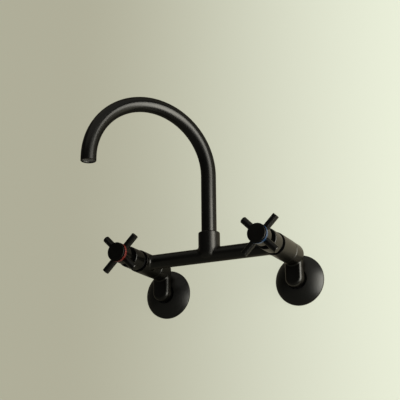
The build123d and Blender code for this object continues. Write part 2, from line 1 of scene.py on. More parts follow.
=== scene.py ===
"""Wall-mounted bridge faucet in a satin near-black finish.

Two swing arms carry a hot and a cold valve, a bridge joins the valves, and a gooseneck spout
turns in the bridge's tee. Sizes in the finishes and sub-assemblies are millimetres, in the studio
and the camera metres, and angles are degrees. "Station" is the distance out from the wall along a
valve's axis. Blender's own lengths are metres, in the frame of the solids: x along the wall, y
into it and z up.
"""

from __future__ import annotations

import logging
import math
from dataclasses import dataclass, field
from enum import Enum
from typing import Any, Union

import bmesh
import bpy
from mathutils import Matrix, Vector

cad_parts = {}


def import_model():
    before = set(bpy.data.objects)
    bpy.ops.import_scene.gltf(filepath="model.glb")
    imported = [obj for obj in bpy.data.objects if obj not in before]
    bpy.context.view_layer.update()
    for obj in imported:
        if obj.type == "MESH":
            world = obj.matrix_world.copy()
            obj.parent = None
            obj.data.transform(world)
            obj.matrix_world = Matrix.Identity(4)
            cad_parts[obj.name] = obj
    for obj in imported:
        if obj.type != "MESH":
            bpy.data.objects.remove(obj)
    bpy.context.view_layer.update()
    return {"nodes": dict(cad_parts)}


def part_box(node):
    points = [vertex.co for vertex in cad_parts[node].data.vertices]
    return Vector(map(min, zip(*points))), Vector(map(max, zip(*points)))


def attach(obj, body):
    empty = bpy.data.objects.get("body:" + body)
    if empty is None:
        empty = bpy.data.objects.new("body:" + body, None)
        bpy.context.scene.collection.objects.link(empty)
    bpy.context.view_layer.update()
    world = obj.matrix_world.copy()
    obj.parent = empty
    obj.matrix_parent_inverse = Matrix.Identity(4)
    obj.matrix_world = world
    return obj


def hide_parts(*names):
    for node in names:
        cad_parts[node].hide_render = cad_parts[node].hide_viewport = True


LOG = logging.getLogger("faucet")
MM = 0.001
Colour = tuple[float, float, float]
Span = tuple[float, float]
Profile = list[tuple[float, float]]


class Side(Enum):
    """Which of the two valves a piece belongs to."""

    LEFT = "left"
    RIGHT = "right"

    def node(self, family: str) -> str:
        """Name of this side's node of one family."""
        return f"{family}_{self.value}"


class Making(Enum):
    """How a dark piece was made, which sets the marks under its finish."""

    CAST = "cast"
    DRAWN = "drawn"
    TURNED = "turned"


# -------- shader kit
@dataclass(frozen=True)
class Cloud:
    """A layer of noise: the size of its clouds, and the octaves and strength of finer ones."""

    size: float
    detail: float = 2.0
    roughness: float = 0.5


class Socket:
    """An output of a shader node, with the arithmetic that adds Math nodes."""

    def __init__(self, graph: Graph, link: bpy.types.NodeSocket) -> None:
        """Hold one output socket and the graph that it belongs to."""
        self.graph = graph
        self.link = link

    def _math(self, operation: str, *operands: Value) -> Socket:
        """Add one Math node.

        Args:
            operation: Blender's name of the operation.
            operands: values or sockets, in the node's order.

        Returns:
            The node's result.
        """
        inputs = dict(enumerate(operands))
        return self.graph.add("ShaderNodeMath", {"operation": operation}, inputs)["Value"]

    def __add__(self, other: Value) -> Socket:
        """Sum."""
        return self._math("ADD", self, other)

    def __radd__(self, other: Value) -> Socket:
        """Sum with a number on the left."""
        return self._math("ADD", other, self)

    def __sub__(self, other: Value) -> Socket:
        """Difference."""
        return self._math("SUBTRACT", self, other)

    def __rsub__(self, other: Value) -> Socket:
        """Difference with a number on the left."""
        return self._math("SUBTRACT", other, self)

    def __mul__(self, other: Value) -> Socket:
        """Product."""
        return self._math("MULTIPLY", self, other)

    def __rmul__(self, other: Value) -> Socket:
        """Product with a number on the left."""
        return self._math("MULTIPLY", other, self)

    def sine(self) -> Socket:
        """Sine of an angle in radians."""
        return self._math("SINE", self)

    def centred(self) -> Socket:
        """A value from 0 to 1, moved to run from -0.5 to 0.5."""
        return self - 0.5

    def lifted(self) -> Socket:
        """A value from -1 to 1, squeezed to run from 0 to 1."""
        return self * 0.5 + 0.5

    def between(self, low: float, high: float) -> Socket:
        """Smooth step from 0 at low to 1 at high.

        Args:
            low: the value where the step starts.
            high: the value where it ends.

        Returns:
            A value from 0 to 1.
        """
        settings = {"interpolation_type": "SMOOTHSTEP"}
        inputs = {"Value": self, "From Min": low, "From Max": high}
        return self.graph.add("ShaderNodeMapRange", settings, inputs)["Result"]


Value = Union[Socket, float, tuple, Vector]


class Node:
    """A shader node whose outputs are read by name."""

    def __init__(self, graph: Graph, node: bpy.types.Node) -> None:
        """Hold one node and the graph that it belongs to."""
        self.graph = graph
        self.node = node

    def __getitem__(self, name: str) -> Socket:
        """The live output with that name."""
        live = [output for output in self.node.outputs if output.name == name and output.enabled]
        return Socket(self.graph, live[0])


class Graph:
    """The node tree of one material or world."""

    BEVEL_SAMPLES = 6
    WEAR_SPAN = (0.004, 0.12)

    def __init__(self, tree: bpy.types.NodeTree) -> None:
        """Start from an empty tree."""
        self.tree = tree
        tree.nodes.clear()

    def add(self, kind: str, settings: dict[str, Any] | None = None,
            inputs: dict[str | int, Value] | None = None) -> Node:
        """Add a node of any type.

        Args:
            kind: Blender's type name.
            settings: the node's own options, set before its inputs.
            inputs: what each input socket holds or is linked to, by name or by place.

        Returns:
            The node.
        """
        node = self.tree.nodes.new(kind)
        for name, setting in (settings or {}).items():
            setattr(node, name, setting)
        for name, value in (inputs or {}).items():
            socket = self._input(node, name)
            if isinstance(value, Socket):
                self.tree.links.new(value.link, socket)
            else:
                socket.default_value = value
        return Node(self, node)

    @staticmethod
    def _input(node: bpy.types.Node, name: str | int) -> bpy.types.NodeSocket:
        """Find an input socket.

        Args:
            node: the node.
            name: the socket's name, or its place.

        Returns:
            The live input with that name or place.
        """
        if isinstance(name, int):
            return node.inputs[name]
        return [socket for socket in node.inputs if socket.name == name and socket.enabled][0]

    def place(self) -> Socket:
        """Object coordinates, in metres."""
        return self.add("ShaderNodeTexCoord")["Object"]

    def axes(self, place: Socket) -> tuple[Socket, Socket, Socket]:
        """The three numbers of a vector."""
        parts = self.add("ShaderNodeSeparateXYZ", inputs={"Vector": place})
        return parts["X"], parts["Y"], parts["Z"]

    def noise(self, place: Socket, cloud: Cloud) -> Socket:
        """Cloudy noise.

        Args:
            place: the coordinates.
            cloud: how coarse and how rough it is.

        Returns:
            The noise, from 0 to 1.
        """
        inputs = {"Vector": place, "Scale": 1 / (cloud.size * MM), "Detail": cloud.detail,
                  "Roughness": cloud.roughness}
        return self.add("ShaderNodeTexNoise", {"noise_dimensions": "3D"}, inputs)["Fac"]

    def tool_lines(self, place: Socket, pitch: float, cloud: Cloud, waver: float) -> Socket:
        """Fine lines that a lathe leaves round a valve's axis.

        Args:
            place: the coordinates.
            pitch: distance from line to line, in millimetres.
            cloud: the noise that the lines waver with.
            waver: how far they waver, in radians of the wave.

        Returns:
            A wave from -1 to 1.
        """
        _, depth, _ = self.axes(place)
        phase = depth * (2 * math.pi / (pitch * MM)) + self.noise(place, cloud) * waver
        return phase.sine()

    def mix(self, share: Value, first: Colour | Socket, second: Colour | Socket) -> Socket:
        """Blend two colours.

        Args:
            share: how much of the second colour shows.
            first: colour at share 0.
            second: colour at share 1.

        Returns:
            The blend.
        """
        first, second = (c if isinstance(c, Socket) else (*c, 1.0) for c in (first, second))
        inputs = {"Factor": share, "A": first, "B": second}
        return self.add("ShaderNodeMix", {"data_type": "RGBA"}, inputs)["Result"]

    def bump(self, height: Socket, depth: float) -> Socket:
        """Surface direction under fine relief.

        Args:
            height: relief from 0 to 1.
            depth: its full depth, in millimetres.

        Returns:
            The normal.
        """
        inputs = {"Height": height, "Strength": 1.0, "Distance": depth * MM}
        return self.add("ShaderNodeBump", inputs=inputs)["Normal"]

    def worn_edges(self, reach: float) -> Socket:
        """Mask of the outer edges, where hands and cloths polish a finish.

        Args:
            reach: how far from an edge the wear runs, in millimetres.

        Returns:
            1 on an edge and 0 away from it.
        """
        settings = {"samples": self.BEVEL_SAMPLES}
        rounded = self.add("ShaderNodeBevel", settings, {"Radius": reach * MM})["Normal"]
        flat = self.add("ShaderNodeNewGeometry")["Normal"]
        agreement = self.add("ShaderNodeVectorMath", {"operation": "DOT_PRODUCT"},
                             {0: rounded, 1: flat})["Value"]
        return (1 - agreement).between(*self.WEAR_SPAN)


def blank(name: str) -> tuple[bpy.types.Material, Graph]:
    """Start a material.

    Args:
        name: the material's name.

    Returns:
        The material and its empty graph.
    """
    material = bpy.data.materials.new(name)
    material.use_nodes = True
    return material, Graph(material.node_tree)


def shaded(colour: Colour, share: float) -> Colour:
    """A colour with each channel scaled by a share."""
    return tuple(channel * share for channel in colour)


# -------- finishes
@dataclass(frozen=True)
class Finish:
    """What the surface of a piece looks like. A kind of finish fills in surface()."""

    name: str
    colour: Colour
    roughness: float

    def material(self) -> bpy.types.Material:
        """Mix the finish as a material.

        Returns:
            The material.
        """
        material, graph = blank(self.name)
        shader = graph.add("ShaderNodeBsdfPrincipled", inputs=self.surface(graph))["BSDF"]
        graph.add("ShaderNodeOutputMaterial", inputs={"Surface": shader})
        material.diffuse_color = (*self.colour, 1.0)
        return material

    def surface(self, graph: Graph) -> dict[str, Value]:
        """Inputs of the shader.

        Args:
            graph: the material's node tree.

        Returns:
            A value or a socket for each input that the finish sets.
        """
        raise NotImplementedError


@dataclass(frozen=True)
class SatinBlack(Finish):
    """Near-black plated metal: warm clouds in the black, a satin grain and polished edges."""

    making: Making = Making.CAST
    warm: Colour = (0.058, 0.0545, 0.047)
    clouds: Cloud = Cloud(34, 4, 0.6)
    cloud_span: Span = (0.38, 0.78)
    cloud_share: float = 0.55
    smears: Cloud = Cloud(11, 3)
    smear_roughness: float = 0.05
    grain: Cloud = Cloud(0.7)
    grain_roughness: float = 0.04
    grain_depth: float = 0.0005
    edge: Colour = (0.105, 0.089, 0.070)
    edge_reach: float = 0.5
    edge_share: float = 0.3
    edge_smears: float = 0.4
    edge_polish: float = 0.04
    rim: Colour = (1.0, 0.94, 0.85)
    # painted shade: an optional band between two stations, painted dull black over whatever
    # surface is there
    shade_span: Span | None = None
    shade_colour: Colour = (0.004, 0.0036, 0.003)
    shade_roughness: float = 0.65
    shade_fade: float = 0.25
    shade_waver: float = 0.3
    line_pitch: float = 0.42
    line_cloud: Cloud = Cloud(3.0)
    line_waver: float = 5.0
    line_share: float = 0.25
    line_depth: float = 0.0010
    peel: Cloud = Cloud(3.2)
    peel_share: float = 0.85
    peel_depth: float = 0.0055

    def surface(self, graph: Graph) -> dict[str, Value]:
        """Clouds, grain, the marks of the making, worn edges and a band of painted shade.

        Args:
            graph: the material's node tree.

        Returns:
            The inputs that the finish sets.
        """
        place = graph.place()
        clouds = graph.noise(place, self.clouds).between(*self.cloud_span)
        smears = graph.noise(place, self.smears)
        grain = graph.noise(place, self.grain)
        worn = graph.worn_edges(self.edge_reach)
        colour = graph.mix(clouds * self.cloud_share, self.colour, self.warm)
        colour = graph.mix(worn * (self.edge_share + self.edge_smears * smears), colour, self.edge)
        rough = self.roughness + smears.centred() * self.smear_roughness
        rough = rough + grain.centred() * self.grain_roughness - worn * self.edge_polish
        # painted shade over the span: dark colour and dull roughness
        if self.shade_span:
            shade_mask = self._painted_shade(graph, place, smears, self.shade_span)
            colour = graph.mix(shade_mask, colour, self.shade_colour)
            rough = rough + shade_mask * self.shade_roughness
        relief, depth = self._marks(graph, place, grain)
        return {"Base Color": colour, "Metallic": 1.0, "Specular Tint": (*self.rim, 1.0),
                "Roughness": rough, "Normal": graph.bump(relief, depth)}

    def _painted_shade(self, graph: Graph, place: Socket, smears: Socket, stations: Span) -> Socket:
        """Painted shade: a dull black band between two stations, which darkens the surface and
        kills its highlights there.

        Args:
            graph: the material's node tree.
            place: object coordinates.
            smears: noise that makes the band's edges wavy.
            stations: where the band of painted shade starts and ends.

        Returns:
            1 in the band of painted shade and 0 away from it.
        """
        start, end = stations
        _, depth, _ = graph.axes(place)
        station = depth * (-1 / MM) + smears.centred() * self.shade_waver
        begun = station.between(start - self.shade_fade, start)
        past = station.between(end, end + self.shade_fade)
        return begun * (1 - past)

    def _marks(self, graph: Graph, place: Socket, grain: Socket) -> tuple[Socket, float]:
        """Relief that the making leaves under the finish.

        Args:
            graph: the material's node tree.
            place: object coordinates.
            grain: the satin grain.

        Returns:
            The relief from 0 to 1, and its depth in millimetres.
        """
        if self.making is Making.TURNED:
            lines = graph.tool_lines(place, self.line_pitch, self.line_cloud, self.line_waver)
            return lines * self.line_share + grain * (1 - self.line_share), self.line_depth
        if self.making is Making.CAST:
            peel = graph.noise(place, self.peel)
            return peel * self.peel_share + grain * (1 - self.peel_share), self.peel_depth
        return grain, self.grain_depth


@dataclass(frozen=True)
class MachinedBrass(Finish):
    """Turned brass: fine tool lines and a slight darkening in patches."""

    dull: Colour = (0.30, 0.18, 0.07)
    patches: Cloud = Cloud(9, 4)
    patch_span: Span = (0.45, 0.8)
    patch_share: float = 0.6
    patch_roughness: float = 0.15
    line_pitch: float = 0.3
    line_cloud: Cloud = Cloud(2)
    line_waver: float = 4.0
    line_roughness: float = 0.03
    line_depth: float = 0.008

    def surface(self, graph: Graph) -> dict[str, Value]:
        """Tool lines round the axis over tarnished patches.

        Args:
            graph: the material's node tree.

        Returns:
            The inputs that the finish sets.
        """
        place = graph.place()
        patches = graph.noise(place, self.patches)
        lines = graph.tool_lines(place, self.line_pitch, self.line_cloud, self.line_waver)
        tarnish = patches.between(*self.patch_span) * self.patch_share
        rough = self.roughness + patches * self.patch_roughness + lines * self.line_roughness
        return {"Base Color": graph.mix(tarnish, self.colour, self.dull), "Metallic": 1.0,
                "Roughness": rough, "Normal": graph.bump(lines.lifted(), self.line_depth)}


@dataclass(frozen=True)
class Steel(Finish):
    """Stainless steel with a fine brushed grain."""

    stretch: float = 0.08
    grain: Cloud = Cloud(0.25, 3)
    grain_roughness: float = 0.12
    grain_depth: float = 0.004
    patches: Cloud = Cloud(6)
    patch_span: Span = (0.3, 0.8)
    shade: float = 0.72

    def surface(self, graph: Graph) -> dict[str, Value]:
        """Grain stretched along x over faint patches.

        Args:
            graph: the material's node tree.

        Returns:
            The inputs that the finish sets.
        """
        place = graph.place()
        stretched = graph.add("ShaderNodeMapping",
                              inputs={"Vector": place, "Scale": (self.stretch, 1.0, 1.0)})
        grain = graph.noise(stretched["Vector"], self.grain)
        patches = graph.noise(place, self.patches).between(*self.patch_span)
        return {"Base Color": graph.mix(patches, self.colour, shaded(self.colour, self.shade)),
                "Metallic": 1.0, "Roughness": self.roughness + grain * self.grain_roughness,
                "Normal": graph.bump(grain, self.grain_depth)}


@dataclass(frozen=True)
class Rubber(Finish):
    """Moulded black rubber with a dusty bloom."""

    bloom: Colour = (0.016, 0.0155, 0.015)
    gloss: float = 0.12
    patches: Cloud = Cloud(5, 4)
    patch_span: Span = (0.45, 0.8)
    patch_share: float = 0.5
    patch_roughness: float = 0.12
    grain: Cloud = Cloud(0.4)
    grain_depth: float = 0.01

    def surface(self, graph: Graph) -> dict[str, Value]:
        """Bloom in patches over a fine moulded grain.

        Args:
            graph: the material's node tree.

        Returns:
            The inputs that the finish sets.
        """
        place = graph.place()
        patches = graph.noise(place, self.patches)
        grain = graph.noise(place, self.grain)
        bloom = patches.between(*self.patch_span) * self.patch_share
        return {"Base Color": graph.mix(bloom, self.colour, self.bloom),
                "Roughness": self.roughness + patches * self.patch_roughness,
                "Specular IOR Level": self.gloss, "Normal": graph.bump(grain, self.grain_depth)}


@dataclass(frozen=True)
class Moulded(Finish):
    """Injection-moulded plastic: faint flow clouds and a slight orange peel."""

    coat: float = 0.0
    shade: float = 0.82
    flow: Cloud = Cloud(7, 3)
    flow_span: Span = (0.3, 0.75)
    flow_roughness: float = 0.08
    peel: Cloud = Cloud(1.1)
    peel_depth: float = 0.006

    def surface(self, graph: Graph) -> dict[str, Value]:
        """Flow clouds in the colour and a slight orange peel.

        Args:
            graph: the material's node tree.

        Returns:
            The inputs that the finish sets.
        """
        place = graph.place()
        flow = graph.noise(place, self.flow)
        peel = graph.noise(place, self.peel)
        darker = shaded(self.colour, self.shade)
        return {"Base Color": graph.mix(flow.between(*self.flow_span), self.colour, darker),
                "Roughness": self.roughness + flow * self.flow_roughness,
                "Coat Weight": self.coat, "Normal": graph.bump(peel, self.peel_depth)}


@dataclass(frozen=True)
class Ceramic(Finish):
    """Lapped alumina: off-white, nearly mirror flat, with faint lapping marks."""

    clouds: Cloud = Cloud(4, 3)
    shade: float = 0.9
    marks: Cloud = Cloud(0.3, 3)
    mark_roughness: float = 0.1
    mark_depth: float = 0.002

    def surface(self, graph: Graph) -> dict[str, Value]:
        """Faint clouds and fine lapping marks.

        Args:
            graph: the material's node tree.

        Returns:
            The inputs that the finish sets.
        """
        place = graph.place()
        clouds = graph.noise(place, self.clouds)
        marks = graph.noise(place, self.marks)
        return {"Base Color": graph.mix(clouds, self.colour, shaded(self.colour, self.shade)),
                "Roughness": self.roughness + marks * self.mark_roughness,
                "Normal": graph.bump(marks, self.mark_depth)}


NEAR_BLACK: Colour = (0.048, 0.0468, 0.042)
SOFT_EDGE: Colour = (0.078, 0.068, 0.055)
# spans of painted shade: the gasket groove between valve body and bonnet with the bevels beside
# it, and the side of the cap
GASKET_GROOVE: Span = (90.7, 97.0)
CAP_SIDE: Span = (148.0, 150.7)

CAST_BLACK = SatinBlack("satin_black_cast", NEAR_BLACK, 0.31, Making.CAST, edge=SOFT_EDGE)
DRAWN_BLACK = SatinBlack("satin_black_drawn", NEAR_BLACK, 0.28, Making.DRAWN)
PRESSED_BLACK = SatinBlack("satin_black_pressed", (0.054, 0.0535, 0.049), 0.35, Making.DRAWN)
TURNED_BLACK = SatinBlack("satin_black_turned", NEAR_BLACK, 0.30, Making.TURNED)
# valve body and bonnet: painted shade over the gasket groove
GROOVE_SHADED_BLACK = SatinBlack("satin_black_groove_shaded", NEAR_BLACK, 0.30, Making.TURNED,
                           edge=SOFT_EDGE, shade_span=GASKET_GROOVE)
NECK_BLACK = SatinBlack("satin_black_neck", (0.030, 0.028, 0.026), 0.34, Making.TURNED)
# cap: painted shade on its side, which kills the highlights there
CAP_BLACK = SatinBlack("satin_black_cap", (0.034, 0.032, 0.028), 0.34, Making.TURNED,
                       rim=(0.35, 0.33, 0.30), shade_span=CAP_SIDE)
BRASS = MachinedBrass("machined_brass", (0.62, 0.41, 0.17), 0.24)
SPRING_STEEL = Steel("spring_steel", (0.42, 0.42, 0.41), 0.26)
SCREEN_STEEL = Steel("screen_steel", (0.34, 0.335, 0.31), 0.46)
SEAL_RUBBER = Rubber("seal_rubber", (0.005, 0.005, 0.005), 0.70)
GUIDE_PLASTIC = Moulded("guide_plastic", (0.58, 0.55, 0.48), 0.38)
DISC_CERAMIC = Ceramic("disc_ceramic", (0.82, 0.80, 0.74), 0.12)
HOT_RED = Moulded("hot_red", (0.15, 0.018, 0.012), 0.26, coat=0.2)
COLD_BLUE = Moulded("cold_blue", (0.012, 0.038, 0.085), 0.26, coat=0.2)


# -------- workshop
OUT = Vector((0, -1, 0))
DOWN = Vector((0, 0, -1))
MERGE_DISTANCE = 1e-7
TURN_STEPS = 96
ROUNDED_ANGLE = 35.0
ROUNDED_SEGMENTS = 3
ROUNDED_PROFILE = 0.5
SHARP_ANGLE = 32.0


def show(name: str, shape: bmesh.types.BMesh, material: bpy.types.Material) -> bpy.types.Object:
    """Put a mesh into the scene.

    Args:
        name: name of the object and its mesh.
        shape: the mesh, which is used up.
        material: its material.

    Returns:
        The object.
    """
    mesh = bpy.data.meshes.new(name)
    shape.to_mesh(mesh)
    shape.free()
    mesh.materials.append(material)
    shown = bpy.data.objects.new(name, mesh)
    bpy.context.scene.collection.objects.link(shown)
    return shown


@dataclass(frozen=True)
class Seat:
    """Where a round piece lies: a point on its axis, the axis and a direction square to it."""

    origin: Vector
    axis: Vector
    across: Vector

    def point(self, radius: float, along: float) -> Vector:
        """A point at a radius and a distance along the axis, both in millimetres."""
        return self.origin + self.across * radius * MM + self.axis * along * MM


@dataclass(frozen=True)
class Extent:
    """Radius and ends of a round node, read from its box."""

    seat: Seat
    radius: float
    back: float
    front: float

    @classmethod
    def of(cls, node: str, axis: Vector) -> Extent:
        """Measure a round node.

        Args:
            node: the node's name.
            axis: OUT on a valve, and DOWN at the spout's mouth.

        Returns:
            Its radius, and its ends as distances along the axis from the frame's origin.
        """
        low, high = (Vector(corner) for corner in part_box(node))
        middle = (low + high) / 2
        seat = Seat(middle - axis * middle.dot(axis), axis, Vector((1, 0, 0)))
        return cls(seat, (high.x - low.x) / 2 / MM, high.dot(axis) / MM, low.dot(axis) / MM)


@dataclass
class Workshop:
    """The solids, and the finishes mixed so far."""

    nodes: dict[str, bpy.types.Object]
    mixed: dict[str, bpy.types.Material] = field(default_factory=dict)

    def finish(self, finish: Finish) -> bpy.types.Material:
        """Look a finish up, and mix it the first time.

        Args:
            finish: what the surface looks like.

        Returns:
            Its material.
        """
        if finish.name not in self.mixed:
            self.mixed[finish.name] = finish.material()
        return self.mixed[finish.name]

    def dress(self, node: str, finish: Finish) -> None:
        """Give a solid its finish.

        Args:
            node: the node's name.
            finish: what its surface looks like.
        """
        mesh = self.nodes[node].data
        mesh.materials.clear()
        mesh.materials.append(self.finish(finish))
        LOG.info("%s: %s", node, finish.name)

    def turn(self, seat: Seat, profile: Profile, closed: bool) -> bmesh.types.BMesh:
        """Turn a profile into a round solid.

        Args:
            seat: where it lies.
            profile: radius and distance along the axis of each corner.
            closed: True for a ring, False for a profile that starts and ends on the axis.

        Returns:
            The mesh.
        """
        shape = bmesh.new()
        verts = [shape.verts.new(seat.point(radius, along)) for radius, along in profile]
        pairs = list(zip(verts, verts[1:]))
        if closed:
            pairs.append((verts[-1], verts[0]))
        edges = [shape.edges.new(pair) for pair in pairs]
        bmesh.ops.spin(shape, geom=verts + edges, cent=seat.origin, axis=seat.axis,
                       angle=2 * math.pi, steps=TURN_STEPS, use_merge=True, use_duplicate=False)
        self.tidy(shape)
        return shape

    @staticmethod
    def tidy(shape: bmesh.types.BMesh) -> None:
        """Merge doubles and turn every face outwards."""
        bmesh.ops.remove_doubles(shape, verts=shape.verts[:], dist=MERGE_DISTANCE)
        bmesh.ops.recalc_face_normals(shape, faces=shape.faces[:])

    @staticmethod
    def soften(shape: bmesh.types.BMesh, radius: float) -> None:
        """Round the sharp edges.

        Args:
            shape: the mesh.
            radius: width of the rounding.
        """
        shape.normal_update()
        steepest = math.radians(ROUNDED_ANGLE)
        sharp = [edge for edge in shape.edges
                 if len(edge.link_faces) == 2 and edge.calc_face_angle() > steepest]
        bmesh.ops.bevel(shape, geom=sharp, offset=radius * MM, offset_type="OFFSET",
                        segments=ROUNDED_SEGMENTS, profile=ROUNDED_PROFILE, affect="EDGES",
                        clamp_overlap=True, material=-1)

    def piece(self, name: str, shape: bmesh.types.BMesh, finish: Finish, body: str, slot: str,
              stands_for: tuple[str, ...] = ()) -> None:
        """Make a finished piece of a mesh.

        Args:
            name: the piece's name.
            shape: its mesh, which is used up.
            finish: what its surface looks like.
            body: the body it moves with.
            slot: not used.
            stands_for: nodes that it replaces.
        """
        piece = show(name, shape, self.finish(finish))
        piece.data.shade_smooth()
        piece.data.set_sharp_from_angle(angle=math.radians(SHARP_ANGLE))
        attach(piece, body)
        if stands_for:
            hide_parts(*stands_for)
        LOG.info("%s: %d faces, %s", name, len(piece.data.polygons), finish.name)


# -------- sub-assemblies
@dataclass
class WaterInlet:
    """A swing arm with its flange at the wall, and the pipe thread in its inlet."""

    side: Side
    thread_pitch: float = 25.4 / 14
    thread_root: float = 9.25
    thread_crest: float = 8.62
    thread_start: float = 0.9
    thread_end: float = 9.6
    root_share: float = 0.42
    crest_share: float = 0.08
    steps_per_turn: int = 48

    def build(self, shop: Workshop) -> None:
        """Cut the inlet's pipe thread as a ridge that climbs the bore.

        Args:
            shop: the workshop.
        """
        arm = Extent.of(self.side.node("flange_grommet"), OUT)
        root = self.thread_pitch * self.root_share
        crest = self.thread_pitch * self.crest_share
        section = [(self.thread_root, -root), (self.thread_crest, -crest),
                   (self.thread_crest, crest), (self.thread_root, root)]
        shape = bmesh.new()
        verts = [shape.verts.new(arm.seat.point(radius, self.thread_start + along))
                 for radius, along in section]
        edges = [shape.edges.new(pair) for pair in zip(verts, verts[1:] + verts[:1])]
        turns = (self.thread_end - self.thread_start) / self.thread_pitch
        step = arm.seat.axis * self.thread_pitch * MM / self.steps_per_turn
        bmesh.ops.spin(shape, geom=verts + edges, cent=arm.seat.origin, axis=arm.seat.axis,
                       dvec=step, angle=turns * 2 * math.pi,
                       steps=round(turns * self.steps_per_turn), use_duplicate=False)
        ends = [edge for edge in shape.edges if len(edge.link_faces) < 2]
        bmesh.ops.holes_fill(shape, edges=ends, sides=len(section))
        shop.tidy(shape)
        shop.piece(self.side.node("inlet_thread"), shape, BRASS, f"arm_{self.side.value}",
                   "inner_brass")

    def dress(self, shop: Workshop) -> None:
        """Finish the arm, flange and rubbers."""
        for family, finish in (("swing_arm", CAST_BLACK), ("wall_flange", PRESSED_BLACK),
                               ("flange_grommet", SEAL_RUBBER), ("inlet_washer", SEAL_RUBBER)):
            shop.dress(self.side.node(family), finish)


@dataclass
class Valve:
    """A valve body with the still pieces of its cartridge and its bonnet."""

    side: Side

    def dress(self, shop: Workshop) -> None:
        """Finish the body, bonnet, cartridge and seals."""
        for family, finish in (("valve_body", GROOVE_SHADED_BLACK), ("bonnet", GROOVE_SHADED_BLACK),
                               ("cartridge_housing", NECK_BLACK), ("bonnet_gasket", SEAL_RUBBER),
                               ("arm_rings", SEAL_RUBBER), ("seat_seal", SEAL_RUBBER),
                               ("snap_ring", SPRING_STEEL),
                               ("ceramic_disc_fixed", DISC_CERAMIC)):
            shop.dress(self.side.node(family), finish)


@dataclass
class CrossHandle:
    """A cross handle: hub, four spokes, coloured ring and cap, with the spindle that it turns."""

    side: Side
    ring_gap: float = 0.05
    ring_round: float = 0.3
    cap_bevel: float = 1.0
    cap_crown: float = 0.1
    crown_steps: tuple[tuple[float, float], ...] = ((0.4, 0.16), (0.75, 0.56))
    cap_round: float = 0.22
    plug_radius: float = 8.95
    boss_radius: float = 7.45

    @property
    def body(self) -> str:
        """The body that the handle's pieces move with."""
        return f"handle_{self.side.value}"

    @property
    def ring_finish(self) -> Finish:
        """Red for hot on the left, blue for cold on the right."""
        return HOT_RED if self.side is Side.LEFT else COLD_BLUE

    def build(self, shop: Workshop) -> None:
        """Turn the coloured ring and the cap, with rounded edges.

        Args:
            shop: the workshop.
        """
        ring = Extent.of(self.side.node("index_ring"), OUT)
        self._band(shop, ring)
        self._button(shop, ring)

    def _band(self, shop: Workshop, ring: Extent) -> None:
        """The coloured ring.

        Args:
            shop: the workshop.
            ring: where the ring's node lies.
        """
        bore = self.plug_radius + self.ring_gap
        profile = [(bore, ring.back), (ring.radius, ring.back),
                   (ring.radius, ring.front), (bore, ring.front)]
        shape = shop.turn(ring.seat, profile, closed=True)
        shop.soften(shape, self.ring_round)
        slot = "hot_red" if self.side is Side.LEFT else "cold_blue"
        shop.piece(self.side.node("index_band"), shape, self.ring_finish, self.body, slot,
                   (self.side.node("index_ring"),))

    def _button(self, shop: Workshop, ring: Extent) -> None:
        """The cap: a slightly crowned face, a bevel, and a stepped plug through the ring.

        Args:
            shop: the workshop.
            ring: where the ring's node lies.
        """
        cap = Extent.of(self.side.node("handle_cap"), OUT)
        flat = cap.radius - self.cap_bevel
        crown = [(flat * reach, cap.front - self.cap_crown * drop)
                 for reach, drop in self.crown_steps]
        profile = [(0, cap.front), *crown, (flat, cap.front - self.cap_crown),
                   (cap.radius, cap.front - self.cap_bevel), (cap.radius, ring.front),
                   (self.plug_radius, ring.front), (self.plug_radius, ring.back),
                   (self.boss_radius, ring.back), (self.boss_radius, cap.back), (0, cap.back)]
        shape = shop.turn(cap.seat, profile, closed=False)
        shop.soften(shape, self.cap_round)
        shop.piece(self.side.node("cap_button"), shape, CAP_BLACK, self.body, "dark_finish",
                   (self.side.node("handle_cap"),))

    def dress(self, shop: Workshop) -> None:
        """Finish the hub, spokes, screw, spindle and what rides on it."""
        for family, finish in (("handle_hub", TURNED_BLACK), ("handle_spokes", DRAWN_BLACK),
                               ("handle_screw", SPRING_STEEL), ("cartridge_spindle", BRASS),
                               ("spindle_rings", SEAL_RUBBER), ("spindle_clip", SPRING_STEEL),
                               ("ceramic_disc_moving", DISC_CERAMIC),
                               ("index_ring", self.ring_finish), ("handle_cap", CAP_BLACK)):
            shop.dress(self.side.node(family), finish)


